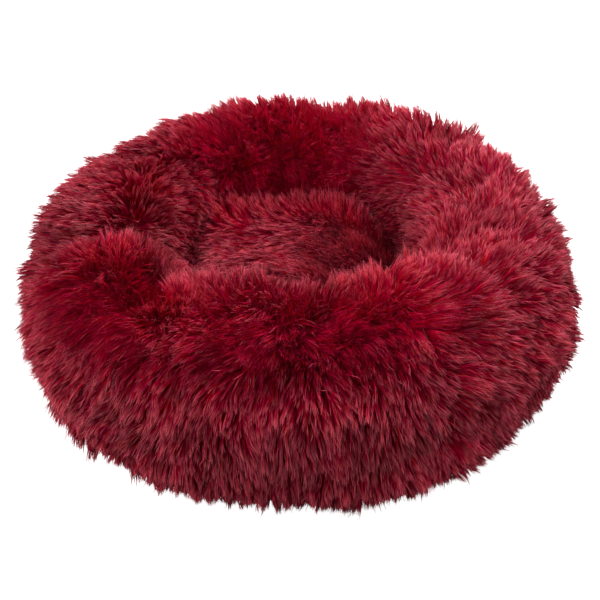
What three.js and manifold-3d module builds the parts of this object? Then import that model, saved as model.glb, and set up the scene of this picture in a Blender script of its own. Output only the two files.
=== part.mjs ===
// Round plush pet bed: a fat fur bolster ring sewn round a raised fur seat, both
// stuffed with loose fibre and closed underneath by a flat anti-slip cloth.
// Millimetres, +Z up, origin at the centre of the underside, front towards -Y.

import * as THREE from 'three';
import { mergeVertices } from 'three/addons/utils/BufferGeometryUtils.js';
import Module from 'manifold-3d';

const wasm = await Module();
wasm.setup();

// ---------------------------------------------------------------- dimensions
const RING_FACETS = 60;          // facets round the bed
const THREAD_FACETS = 60;        // facets round a circular seam
const CREST_RADIUS = 209;        // radius of the top of the bolster
const BOLSTER_HEIGHT = 207;      // top of the bolster with its pile lying
const BOLSTER_OUTER_RADIUS = 291; // widest point of the bolster
const BOLSTER_INNER_RADIUS = 127; // wall of the sleeping well
const BASE_CLOTH_RADIUS = 234;
const BASE_CLOTH_THICKNESS = 1.6;
const SEAT_SEAM_RADIUS = 123.4;  // ring where bolster, seat and divider are sewn together
const SEAT_SEAM_HEIGHT = 84;
const SEAT_RADIUS = 121.8;
const SEAT_CROWN_TOP = 116;      // middle of the seat with its pile lying
const SEAT_CROWN_UNDERSIDE = 92;
const THREAD_RADIUS = 0.6;
const BASE_SEAM_RADIUS = 231.5;
const BASE_SEAM_HEIGHT = 3.0;
const DIVIDER_INNER_RADIUS = 124.1;
const DIVIDER_THICKNESS = 1.0;
const DIVIDER_TOP = 81.6;
const PANEL_SEAM_GAP = 2.4;      // space between the two panels' edges, filled by the seam thread
const LEFT_SEAM_AZIMUTH = 202;   // degrees from +X, anticlockwise from above
const FRONT_SEAM_AZIMUTH = -62;
const LABEL_WIDTH = 30;
const LABEL_LENGTH = 27;
const LABEL_THICKNESS = 0.8;
const CLEARANCE = 0.6;           // between a filling and the cloth round it

// ---------------------------------------------------------------- materials
const wineFur = (shade) => new THREE.MeshStandardMaterial({ color: shade, roughness: 0.62, metalness: 0 });
const furFront = wineFur(0x8a1427);
const furBack = wineFur(0x93172c);
const furSeat = wineFur(0x7f1124);
const fibre = new THREE.MeshStandardMaterial({ color: 0xeeece6, roughness: 0.95, metalness: 0 });
const interfacing = new THREE.MeshStandardMaterial({ color: 0xdedcd6, roughness: 0.9, metalness: 0 });
const antiSlip = new THREE.MeshStandardMaterial({ color: 0x2b2a2d, roughness: 0.85, metalness: 0 });
const thread = new THREE.MeshStandardMaterial({ color: 0x6a0f1e, roughness: 0.7, metalness: 0 });
const satin = new THREE.MeshStandardMaterial({ color: 0xf1efea, roughness: 0.45, metalness: 0 });

// ---------------------------------------------------------------- helpers
const DEG = Math.PI / 180;
const v2 = (list) => list.map(([r, z]) => new THREE.Vector2(r, z));

// Revolves a profile of [radius, height] pairs about the vertical axis.
function revolve(profile, facets) {
  const geometry = new THREE.LatheGeometry(v2(profile), facets);
  geometry.rotateX(Math.PI / 2);
  return outward(geometry);
}

// Turns every face of a closed geometry outwards.
function outward(geometry) {
  const g = welded(geometry);
  const p = g.attributes.position;
  const ix = g.index.array;
  let volume = 0;
  const a = new THREE.Vector3(), b = new THREE.Vector3(), c = new THREE.Vector3();
  for (let i = 0; i < ix.length; i += 3) {
    a.fromBufferAttribute(p, ix[i]);
    b.fromBufferAttribute(p, ix[i + 1]);
    c.fromBufferAttribute(p, ix[i + 2]);
    volume += a.dot(b.cross(c)) / 6;
  }
  if (volume < 0) {
    for (let i = 0; i < ix.length; i += 3) {
      const t = ix[i];
      ix[i] = ix[i + 1];
      ix[i + 1] = t;
    }
  }
  g.computeVertexNormals();
  return g;
}

// One vertex per place, and no triangle that has shrunk to a line.
function welded(geometry) {
  const bare = geometry.clone();
  bare.deleteAttribute('normal');
  bare.deleteAttribute('uv');
  const g = mergeVertices(bare, 1e-3);
  const kept = [];
  const ix = g.index.array;
  for (let i = 0; i < ix.length; i += 3) {
    if (ix[i] !== ix[i + 1] && ix[i + 1] !== ix[i + 2] && ix[i] !== ix[i + 2]) {
      kept.push(ix[i], ix[i + 1], ix[i + 2]);
    }
  }
  g.setIndex(kept);
  return g;
}

function toSolid(geometry) {
  const g = outward(geometry);
  return new wasm.Manifold(new wasm.Mesh({
    numProp: 3,
    vertProperties: new Float32Array(g.attributes.position.array),
    triVerts: new Uint32Array(g.index.array),
  }));
}

function toGeometry(solid) {
  const mesh = solid.getMesh();
  const g = new THREE.BufferGeometry();
  g.setAttribute('position', new THREE.BufferAttribute(new Float32Array(mesh.vertProperties), 3));
  g.setIndex(new THREE.BufferAttribute(new Uint32Array(mesh.triVerts), 1));
  g.computeVertexNormals();
  return g;
}

// A pie slice of height 400 between two azimuths.
function wedge(from, to) {
  const shape = new THREE.Shape();
  shape.moveTo(0, 0);
  const steps = Math.ceil((to - from) / 12);
  for (let i = 0; i <= steps; i++) {
    const a = (from + (to - from) * i / steps) * DEG;
    shape.lineTo(420 * Math.cos(a), 420 * Math.sin(a));
  }
  shape.closePath();
  const g = new THREE.ExtrudeGeometry(shape, { depth: 400, bevelEnabled: false });
  g.translate(0, 0, -100);
  return g;
}

// The slot that the seam between two panels runs in.
function seamSlot(azimuth) {
  const g = new THREE.BoxGeometry(400, PANEL_SEAM_GAP, 400);
  g.translate(200, 0, 100);
  g.rotateZ(azimuth * DEG);
  return g;
}

// A round thread that follows a path, with six sides.
function threadAlong(points, steps) {
  const curve = new THREE.CatmullRomCurve3(points, false, 'centripetal');
  const shape = new THREE.Shape();
  for (let i = 0; i < 6; i++) {
    const a = i * 60 * DEG;
    if (i === 0) shape.moveTo(THREAD_RADIUS, 0);
    else shape.lineTo(THREAD_RADIUS * Math.cos(a), THREAD_RADIUS * Math.sin(a));
  }
  shape.closePath();
  return outward(new THREE.ExtrudeGeometry(shape, { steps, extrudePath: curve, bevelEnabled: false }));
}

// A circular thread of the given radius and height.
function threadRing(radius, height) {
  const profile = [];
  for (let i = 0; i <= 6; i++) {
    const a = (i % 6) * 60 * DEG;
    profile.push([radius + THREAD_RADIUS * Math.cos(a), height + THREAD_RADIUS * Math.sin(a)]);
  }
  return revolve(profile, THREAD_FACETS);
}

// ---------------------------------------------------------------- fur panels of the bolster
// The panels' section is an arch: it starts at the seam with the anti-slip cloth,
// goes out, over the crest and down into the well to the seat seam.
const archOutside = [
  [240, 4.5], [263, 15], [280, 36], [288.5, 62], [BOLSTER_OUTER_RADIUS, 90],
  [290.5, 112], [286.5, 136], [276, 163], [256, 188], [232, 202], [CREST_RADIUS, BOLSTER_HEIGHT],
  [182, 203], [158, 190], [140, 170], [130.5, 148], [BOLSTER_INNER_RADIUS, 124],
  [126.8, 102], [125.4, SEAT_SEAM_HEIGHT],
];
const archInside = [
  [131.4, 82.2], [146, 100], [151, 122], [155, 142], [165, 160], [183, 175],
  [CREST_RADIUS, 182], [233, 176], [250, 162], [261, 142], [265, 112],
  [265, 88], [262, 64], [253, 40], [239, 20], [229.5, 5.2],
];
const archLoop = [...archOutside, ...archInside, archOutside[0]];
const archRing = toSolid(revolve(archLoop, RING_FACETS))
  .subtract(toSolid(seamSlot(LEFT_SEAM_AZIMUTH)))
  .subtract(toSolid(seamSlot(FRONT_SEAM_AZIMUTH)));
const backPanel = toGeometry(archRing.intersect(toSolid(wedge(FRONT_SEAM_AZIMUTH, LEFT_SEAM_AZIMUTH))));
const frontPanel = toGeometry(archRing.intersect(toSolid(wedge(LEFT_SEAM_AZIMUTH, FRONT_SEAM_AZIMUTH + 360))));

// The seam threads run in the slots, in the middle of the arch's thickness.
const archMiddle = [
  [234, 5.8], [251, 20], [266, 38], [275, 64], [278, 98], [271, 136], [256, 164], [234, 185],
  [CREST_RADIUS, 194], [182, 188], [162, 176], [147, 160], [139.5, 138], [137, 116], [129.4, 85],
];
const archPoints = (azimuth) => archMiddle.map(([r, z]) =>
  new THREE.Vector3(r * Math.cos(azimuth * DEG), r * Math.sin(azimuth * DEG), z));

// ---------------------------------------------------------------- bolster filling
const fillingLoop = [
  [DIVIDER_INNER_RADIUS + DIVIDER_THICKNESS + CLEARANCE, BASE_CLOTH_THICKNESS + CLEARANCE],
  [225.5, BASE_CLOTH_THICKNESS + CLEARANCE],
  [228.2, 6.2], [237.8, 20.8], [251.6, 40.6], [260.6, 64.3], [263.6, 88.2], [263.6, 112], [259.6, 141.6],
  [249, 160.8], [232.4, 174.6], [CREST_RADIUS, 180.4], [183.4, 173.6], [166, 159],
  [156.4, 141.6], [152.4, 122], [147.4, 99.6], [132, 81],
  [DIVIDER_INNER_RADIUS + DIVIDER_THICKNESS + CLEARANCE, 80],
];
fillingLoop.push(fillingLoop[0]);

// ---------------------------------------------------------------- seat
const seatFurProfile = [
  [0, SEAT_CROWN_UNDERSIDE], [60, SEAT_CROWN_UNDERSIDE - 1.4], [96, 88], [SEAT_RADIUS, 83],
  [SEAT_RADIUS, 96], [115, 104.5], [96, 110.6], [60, 114.6], [0, SEAT_CROWN_TOP],
];
const seatFillingProfile = [
  [0, BASE_CLOTH_THICKNESS + CLEARANCE],
  [DIVIDER_INNER_RADIUS - CLEARANCE, BASE_CLOTH_THICKNESS + CLEARANCE],
  [DIVIDER_INNER_RADIUS - CLEARANCE, 80.6], [120, 82.4], [96, 87.2],
  [60, SEAT_CROWN_UNDERSIDE - 2.2], [0, SEAT_CROWN_UNDERSIDE - 0.8],
];
const dividerLoop = [
  [DIVIDER_INNER_RADIUS, BASE_CLOTH_THICKNESS + CLEARANCE],
  [DIVIDER_INNER_RADIUS + DIVIDER_THICKNESS, BASE_CLOTH_THICKNESS + CLEARANCE],
  [DIVIDER_INNER_RADIUS + DIVIDER_THICKNESS, DIVIDER_TOP],
  [DIVIDER_INNER_RADIUS, DIVIDER_TOP],
  [DIVIDER_INNER_RADIUS, BASE_CLOTH_THICKNESS + CLEARANCE],
];

// ---------------------------------------------------------------- underside
const baseProfile = [
  [0, 0], [BASE_CLOTH_RADIUS, 0], [BASE_CLOTH_RADIUS, BASE_CLOTH_THICKNESS], [0, BASE_CLOTH_THICKNESS],
];

// A blank woven tab, caught in the base seam at the back.
const label = new THREE.BoxGeometry(LABEL_WIDTH, LABEL_LENGTH, LABEL_THICKNESS);

// ---------------------------------------------------------------- assembly
const bed = new THREE.Group();
function add(name, geometry, material, parent = bed) {
  const mesh = new THREE.Mesh(geometry, material);
  mesh.name = name;
  parent.add(mesh);
  return mesh;
}

const bolster = new THREE.Group();
bed.add(bolster);
add('bolster_fur_front', frontPanel, furFront, bolster);
add('bolster_fur_back', backPanel, furBack, bolster);
add('bolster_filling', revolve(fillingLoop, RING_FACETS), fibre, bolster);
add('panel_seam_thread_left', threadAlong(archPoints(LEFT_SEAM_AZIMUTH), 40), thread, bolster);
add('panel_seam_thread_front', threadAlong(archPoints(FRONT_SEAM_AZIMUTH), 40), thread, bolster);

const seat = new THREE.Group();
bed.add(seat);
add('seat_fur', revolve(seatFurProfile, RING_FACETS), furSeat, seat);
add('seat_filling', revolve(seatFillingProfile, RING_FACETS), fibre, seat);
add('divider_wall', revolve(dividerLoop, RING_FACETS), interfacing, seat);
add('seat_seam_thread', threadRing(SEAT_SEAM_RADIUS + 0.05, SEAT_SEAM_HEIGHT - 1.0), thread, seat);

const underside = new THREE.Group();
bed.add(underside);
add('base_cloth', revolve(baseProfile, RING_FACETS), antiSlip, underside);
add('base_seam_thread', threadRing(BASE_SEAM_RADIUS, BASE_SEAM_HEIGHT), thread, underside);
const tab = add('care_label', label, satin, underside);
tab.position.set(0, BASE_CLOTH_RADIUS + 1.0 + LABEL_LENGTH / 2, 0.5 + LABEL_THICKNESS / 2);

export default bed;
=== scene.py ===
"""Looks of the round plush pet bed: long wine-red pile on a bolster ring and a raised seat."""
import math

import bpy
import numpy as np
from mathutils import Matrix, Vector


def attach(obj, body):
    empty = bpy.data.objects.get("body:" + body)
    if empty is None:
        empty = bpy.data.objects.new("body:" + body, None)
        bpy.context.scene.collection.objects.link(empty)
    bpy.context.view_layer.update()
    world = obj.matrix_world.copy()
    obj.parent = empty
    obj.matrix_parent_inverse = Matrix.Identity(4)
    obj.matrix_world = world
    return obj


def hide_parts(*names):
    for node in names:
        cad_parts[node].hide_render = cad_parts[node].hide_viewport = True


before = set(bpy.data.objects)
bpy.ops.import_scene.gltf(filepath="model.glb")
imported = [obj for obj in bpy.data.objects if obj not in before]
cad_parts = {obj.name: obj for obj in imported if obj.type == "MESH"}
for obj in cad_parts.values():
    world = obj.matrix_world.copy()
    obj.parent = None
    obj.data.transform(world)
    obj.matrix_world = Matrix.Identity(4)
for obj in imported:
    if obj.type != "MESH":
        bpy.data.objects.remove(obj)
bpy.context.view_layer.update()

MM = 0.001
SIDE, TOP = 314.0, 221.0       # how far the pile may reach, mm

# ------------------------------------------------------------------ small helpers


def unit(v):
    return v / np.maximum(np.linalg.norm(v, axis=-1, keepdims=True), 1e-9)


def field(seed, wavelength, waves=18):
    """A smooth random field of about unit spread over points in mm."""
    g = np.random.default_rng(seed)
    k = unit(g.normal(size=(waves, 3))) * (2 * np.pi / (wavelength * g.uniform(0.7, 1.5, (waves, 1))))
    phase = g.uniform(0, 2 * np.pi, waves)

    def f(p):
        return np.sin(p @ k.T + phase).sum(1) * math.sqrt(2 / waves)

    return f


def bump(az, centre, width):
    """1 at an azimuth in degrees, fading to 0 over about two widths."""
    d = (az - centre + 180) % 360 - 180
    return np.exp(-0.5 * (d / width) ** 2)


def hill(x, centre, width):
    return np.exp(-0.5 * ((x - centre) / width) ** 2)


def ramp(x, lo, hi):
    t = np.clip((x - lo) / (hi - lo), 0, 1)
    return t * t * (3 - 2 * t)


def smooth_curve(points, n=400):
    """Catmull-Rom through points, resampled to n points an equal way apart."""
    p = np.asarray(points, float)
    p = np.vstack([2 * p[0] - p[1], p, 2 * p[-1] - p[-2]])
    out = []
    t = np.linspace(0, 1, 24, endpoint=False)[:, None]
    for i in range(1, len(p) - 2):
        a, b, c, d = p[i - 1], p[i], p[i + 1], p[i + 2]
        out.append(0.5 * (2 * b + (c - a) * t + (2 * a - 5 * b + 4 * c - d) * t**2 + (3 * b - a - 3 * c + d) * t**3))
    q = np.vstack([*out, p[-2:-1]])
    way = np.r_[0, np.cumsum(np.linalg.norm(np.diff(q, axis=0), axis=1))]
    s = np.linspace(0, way[-1], n)
    return np.stack([np.interp(s, way, q[:, k]) for k in range(q.shape[1])], 1), way[-1]


def new_mesh(name, verts_mm, faces, smooth=True, uv=None):
    me = bpy.data.meshes.new(name)
    me.from_pydata((np.asarray(verts_mm, float) * MM).tolist(), [], [tuple(f) for f in faces])
    me.update()
    if smooth:
        me.polygons.foreach_set("use_smooth", np.ones(len(me.polygons), bool))
    ob = bpy.data.objects.new(name, me)
    bpy.context.scene.collection.objects.link(ob)
    return ob


def grid_faces(rows, cols, wrap_rows=False, wrap_cols=False):
    """Quads of a grid of points stored row by row."""
    out = []
    for i in range(rows if wrap_rows else rows - 1):
        for j in range(cols if wrap_cols else cols - 1):
            a, b = i * cols + j, i * cols + (j + 1) % cols
            c, d = ((i + 1) % rows) * cols + (j + 1) % cols, ((i + 1) % rows) * cols + j
            out.append((a, b, c, d))
    return out


# ------------------------------------------------------------------ root surface of the bolster

ROOT_PROFILE = [
    (231, 7), (241, 20), (254, 40), (263, 64), (266, 88), (265, 112), (259, 134), (249, 154), (233, 169),
    (210, 176), (186, 171.5), (168, 158), (157, 140), (151, 122), (146, 106), (137, 94), (126, 87),
]
prof, PROF_LEN = smooth_curve(ROOT_PROFILE)
_tan = unit(np.gradient(prof, axis=0))
_nor = np.stack([_tan[:, 1], -_tan[:, 0]], 1)  # turned so that it points out of the ring
_s = np.linspace(0, 1, len(prof))
RC, ZC = 209.0, 98.0
_psi = np.degrees(np.unwrap(np.arctan2((prof[:, 1] - ZC) / 78.0, (prof[:, 0] - RC) / 58.0)))

LEFT_SEAM, FRONT_SEAM = -158.0, -62.0   # where the two panels of fur meet
lumps_a, lumps_b = field(3, 170), field(4, 75)


def section(s):
    r, z = np.interp(s, _s, prof[:, 0]), np.interp(s, _s, prof[:, 1])
    nr, nz = np.interp(s, _s, _nor[:, 0]), np.interp(s, _s, _nor[:, 1])
    return r, z, nr, nz, np.interp(s, _s, _psi)


def swell(az, psi, p):
    """How far the stuffed ring stands out of its even section, mm."""
    d = 3.5 * ramp(psi, -60, -20) * (1 - ramp(psi, 140, 165)) + 2.2 * lumps_a(p) + 1.6 * lumps_b(p)
    lump = bump(az, -146, 12) * ramp(az, LEFT_SEAM - 1.5, LEFT_SEAM + 2.5)
    d = d + 10.0 * lump * hill(psi, 76, 30)                      # the lump that ends in a step at the left seam
    d = d - 12.0 * bump(az, -165, 5.5) * hill(psi, 104, 36)      # the dip behind it
    d = d - 3.0 * bump(az, FRONT_SEAM, 4.5) * hill(psi, 50, 60)
    d = d - 5.0 * bump(az, 62, 6) * hill(psi, 115, 30)           # where the pile parts at the back
    d = d + 6.0 * bump(az, 178, 34) * hill(psi, 12, 42)          # the left side stands out
    d = d + 5.0 * bump(az, -12, 24) * hill(psi, -10, 32)
    d = d + 8.5 * bump(az, 30, 15) * hill(psi, 66, 34)           # and the crest is full at the right back
    d = d + 6.5 * bump(az, 109, 13) * hill(psi, 80, 34) - 2.5 * bump(az, 83, 6) * hill(psi, 80, 25)
    d = d - 4.0 * bump(az, 150, 11) * hill(psi, 80, 34)
    d = d + (22.0 * bump(az, -104, 12.5) + 9.0 * bump(az, -71, 10)) * hill(psi, 118, 15)   # the front edge of the well is a raised rim
    d = d - 13.0 * bump(az, -134, 13) * hill(psi, 122, 26)       # which drops towards the left
    d = d + 8.0 * bump(az, 53, 9) * hill(psi, 80, 30) + 14.0 * bump(az, -51, 9) * hill(psi, 120, 16)
    d = d + 2.0 * (1 - bump(az, -92, 26)) * hill(psi, -38, 20)
    d = d + 6.5 * bump(az, -112, 9) * hill(psi, -40, 24)         # low and full at the front left
    d = d + 3.5 * bump(az, -54, 10) * hill(psi, -38, 20) - 1.5 * bump(az, -137, 12) * hill(psi, -38, 20)
    d = d + 3.0 * bump(az, -150, 8) * hill(psi, -24, 16) - 4.0 * bump(az, -40, 7) * hill(psi, -20, 18)
    d = d + 1.5 * bump(az, -6, 16) * hill(psi, -22, 20) - 5.0 * bump(az, 9, 13) * hill(psi, 48, 20)
    d = d + 10.0 * bump(az, 18, 24) * hill(psi, 150, 26)         # the right wall leans over the seat
    return d


def surf(phi, s):
    """Root surface at azimuth phi (radians) and section place s, mm."""
    r, z, nr, nz, psi = section(s)
    even = np.stack([r * np.cos(phi), r * np.sin(phi), z], -1)
    d = swell(np.degrees(phi), psi, even)
    r, z = r + nr * d, z + nz * d
    return np.stack([r * np.cos(phi), r * np.sin(phi), z], -1)


def surf_frame(phi, s):
    e, k = 2e-3, 2e-3
    p = surf(phi, s)
    ts = unit(surf(phi, np.clip(s + e, 0, 1)) - surf(phi, np.clip(s - e, 0, 1)))
    tp = unit(surf(phi + k, s) - surf(phi - k, s))
    return p, ts, tp, unit(np.cross(tp, ts))


# ------------------------------------------------------------------ root surface of the seat

SEAT_R = 121.0
seat_lumps, seat_lumps2 = field(11, 90), field(12, 38)


def seat_surf(x, y):
    rr = np.hypot(x, y) / SEAT_R
    p = np.stack([x, y, np.zeros_like(x)], -1)
    return 102 - 7.0 * np.clip(rr, 0, 1.05) ** 3.2 - 6.0 * ramp(rr, 0.88, 1.0) + 12.0 * ramp(y / SEAT_R, 0.25, 0.9) + 8.0 * hill(x, -78, 30) * ramp(y / SEAT_R, 0.25, 0.75) + (2.0 * seat_lumps(p) + 1.0 * seat_lumps2(p)) * (1 - ramp(rr, 0.75, 1.0))


# ------------------------------------------------------------------ pile

STEPS = 5
CLASSES = 64
_t = np.linspace(0, 1, STEPS + 1)


def grow(root, nor, tip, stand, length, curl, g, waves=(3.5, 6.0)):
    """Centre lines of strands: they leave the cloth near its normal, and bend over to the direction of their tips."""
    n = len(root)
    start = unit(tip * (1 - stand[:, None]) + nor * stand[:, None])
    side = unit(np.cross(tip, nor + 0.2 * g.normal(size=(n, 3))))
    side2 = np.cross(tip, side)
    ph, ph2 = g.uniform(0, 2 * np.pi, (n, 1)), g.uniform(0, 2 * np.pi, (n, 1))
    turn = g.uniform(*waves, (n, 1))
    out = [root]
    p = root.copy()
    for i in range(STEPS):
        t = (i + 0.5) / STEPS
        w = curl[:, None] * (np.cos(ph + turn * t) * side + 0.6 * np.sin(ph2 + turn * t) * side2)
        d = unit(start * (1 - t**0.8) + tip * t**0.8 + w * (0.25 + t))
        p = p + d * (length / STEPS)[:, None]
        out.append(p)
    return np.stack(out, 1)


def stop_at_floor(lines, floor_z):
    """Shortens strands that would reach under floor_z."""
    z0, z1 = lines[:, 0, 2], lines[:, :, 2].min(1)
    f = np.where(z1 < floor_z, (z0 - floor_z) / np.maximum(z0 - z1, 1e-6), 1.0)
    return lines[:, :1] + (lines - lines[:, :1]) * np.clip(f, 0.3, 1.0)[:, None, None]


def tufts_of(points, share, seed):
    """Which tuft of neighbouring locks each lock belongs to, and how many tufts there are."""
    order = np.random.default_rng(seed).permutation(len(points))
    seeds = points[order[: max(1, int(len(points) * share))]]
    who = np.empty(len(points), int)
    for a in range(0, len(points), 4000):
        d = ((points[a:a + 4000, None, :] - seeds[None]) ** 2).sum(2)
        who[a:a + 4000] = d.argmin(1)
    return who, len(seeds)


def gather(lines, share, pull):
    """Pulls neighbouring locks towards the tip of the tuft that they belong to."""
    tips = lines[:, -1]
    who, n = tufts_of(lines[:, 0], share, 5)
    total = np.zeros((n, 3))
    count = np.zeros(n)
    np.add.at(total, who, tips)
    np.add.at(count, who, 1)
    mean = total[who] / count[who][:, None]
    shift = (mean - tips)[:, None, :] * (_t[None, :, None] ** 1.6) * pull[:, None, None]
    return lines + shift


def keep_clear(lines, inner=True):
    """Keeps strands out of the ring's body, off the floor and inside the size that the bed has."""
    r = np.hypot(lines[..., 0], lines[..., 1])
    z = lines[..., 2]
    ux, uy = lines[..., 0] / np.maximum(r, 1e-6), lines[..., 1] / np.maximum(r, 1e-6)
    lift = 1.0 + 1.5 * _t[None, :]
    a, b = 52.0 + lift, 75.0 + lift
    dr, dz = (r - RC) / a, (z - ZC) / b
    q = np.sqrt(dr**2 + dz**2)
    inside = (q < 1) & (q > 1e-3) & (_t[None, :] > 0.01)
    r = np.where(inside, RC + (r - RC) / np.maximum(q, 1e-3), r)
    z = np.where(inside, ZC + (z - ZC) / np.maximum(q, 1e-3), z)
    over = np.maximum(r - (SIDE - 10), 0)
    r = r - over + 10 * (1 - np.exp(-over / 10)) * 0.8
    up = np.maximum(z - (TOP - 8), 0)
    z = z - up + 8 * (1 - np.exp(-up / 8)) * 0.9
    low = 3.0 + 4.0 * (1 - _t[None, :])
    under = np.maximum(low - z, 0)
    z = np.where(z < low, low * np.exp(-under / 40), z)
    return np.stack([ux * r, uy * r, np.maximum(z, 1.0)], -1)


def blades_of(lines, normal, per, spread, clump, g, zone, keep, part=1.0, own=0.2, short=0.74, bend=0.03):
    """Strands of each lock: they start apart and come together towards the tip. zone is 0 to 1, the lock's shade: its
    tone with any painted light or shade.

    part is how much of the lock's length the strands have, own the share of shade that is each strand's own,
    bend how far each strand's tip turns its own way.
    """
    n = len(lines)
    who = np.repeat(np.arange(n), per)
    m = len(who)
    own, part = np.broadcast_to(own, n)[who], np.broadcast_to(part, n)[who]
    d0 = unit(lines[:, 1] - lines[:, 0])
    e1 = unit(np.cross(normal, d0 + 1e-3))
    e2 = np.cross(normal, e1)
    spread = np.broadcast_to(spread, n)[who]
    rad = spread * np.sqrt(g.uniform(0.02, 1, m))
    ang = g.uniform(0, 2 * np.pi, m)
    off = e1[who] * (rad * np.cos(ang))[:, None] + e2[who] * (rad * np.sin(ang))[:, None]
    size = g.uniform(np.broadcast_to(short, n)[who], 1.04) * part
    stray = g.uniform(size=m) < 0.06
    hold = np.where(stray, 0.3, clump[who]) * g.uniform(0.85, 1.0, m)
    line = lines[who]
    grown = (line - line[:, :1]) * size[:, None, None]
    splay = g.normal(size=(m, 3)) * np.where(stray, 0.14, np.broadcast_to(bend, n)[who])[:, None]
    length = np.linalg.norm(np.diff(lines, axis=1), axis=2).sum(1)[who]
    t = _t[None, :, None]
    p = line[:, :1] + grown + off[:, None] * (1 - hold[:, None, None] * t**0.9)
    p = p + splay[:, None] * (t**1.5) * length[:, None, None]
    shade = np.clip((1 - own) * zone[who] + own * g.uniform(size=m), 0, 0.999)
    facing = unit(0.75 * normal[who] + 0.9 * off / spread[:, None] + 0.2 * g.normal(size=(m, 3)))
    return keep(p), who, (shade * CLASSES).astype(int), facing


def ribbons(p, facing, klass, width, g, top=1.0):
    """Tapered ribbons along the lines p, each with its own share of the colour map up to the height top (0 to 1)."""
    n, k = len(p), p.shape[1] - 1
    tt = np.linspace(0, 1, k + 1)
    tan = unit(np.gradient(p, axis=1))
    f = facing[:, None, :] - (facing[:, None, :] * tan).sum(2, keepdims=True) * tan
    f = unit(f + 1e-4)
    s0 = np.cross(tan, f)
    roll = g.normal(0, math.radians(16), n)[:, None, None]
    side = np.cos(roll) * s0 + np.sin(roll) * f
    shape = np.interp(tt, [0, 0.25, 0.6, 0.85, 1], [0.8, 0.95, 1.0, 0.7, 0.12])
    half = side * (width[:, None] * shape[None, :] / 2)[:, :, None]
    verts = np.concatenate([(p - half)[:, :k], (p + half)[:, :k], p[:, k:]], 1)
    per = 2 * k + 1
    quad = np.array([[i, k + i, k + i + 1, i + 1] for i in range(k - 1)])
    loops = np.concatenate([quad.ravel(), [k - 1, 2 * k - 1, 2 * k]])
    sizes = np.array([4] * (k - 1) + [3])
    all_loops = ((np.arange(n) * per)[:, None] + loops[None]).ravel()
    vv = 0.02 + 0.96 * np.concatenate([tt[:k], tt[:k], tt[k:]])
    uu = np.concatenate([np.full(k, 0.2), np.full(k, 0.8), [0.5]])
    lv = vv[loops][None] * np.broadcast_to(top, n)[:, None]
    lu = (klass[:, None] + uu[loops][None]) / CLASSES
    return verts.reshape(-1, 3), all_loops, np.tile(sizes, n), np.stack([lu, lv], -1).reshape(-1, 2)


def strand_mesh(name, parts, mat):
    """One mesh of several sets of ribbons."""
    shift, vs, ls, ss, us = 0, [], [], [], []
    for v, l, z, u in parts:
        vs.append(v)
        ls.append(l + shift)
        ss.append(z)
        us.append(u)
        shift += len(v)
    verts, loops, sizes, uvs = map(np.concatenate, (vs, ls, ss, us))
    me = bpy.data.meshes.new(name)
    me.vertices.add(len(verts))
    me.vertices.foreach_set("co", (verts * MM).astype(np.float32).ravel())
    me.loops.add(len(loops))
    me.loops.foreach_set("vertex_index", loops.astype(np.int32))
    me.polygons.add(len(sizes))
    me.polygons.foreach_set("loop_start", np.r_[0, np.cumsum(sizes)[:-1]].astype(np.int32))
    me.update(calc_edges=True)
    me.polygons.foreach_set("use_smooth", np.ones(len(sizes), bool))
    uv = me.uv_layers.new(name="OFBake")
    uv.data.foreach_set("uv", uvs.astype(np.float32).ravel())
    ob = bpy.data.objects.new(name, me)
    bpy.context.scene.collection.objects.link(ob)
    me.materials.append(mat)
    return ob


# ------------------------------------------------------------------ materials


def material(name):
    m = bpy.data.materials.new(name)
    m.use_nodes = True
    nt = m.node_tree
    b = nt.nodes["Principled BSDF"]
    return m, nt, b


def node(nt, kind, **values):
    n = nt.nodes.new(kind)
    for k, v in values.items():
        if k in n.inputs:
            n.inputs[k].default_value = v
        else:
            setattr(n, k, v)
    return n


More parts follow.
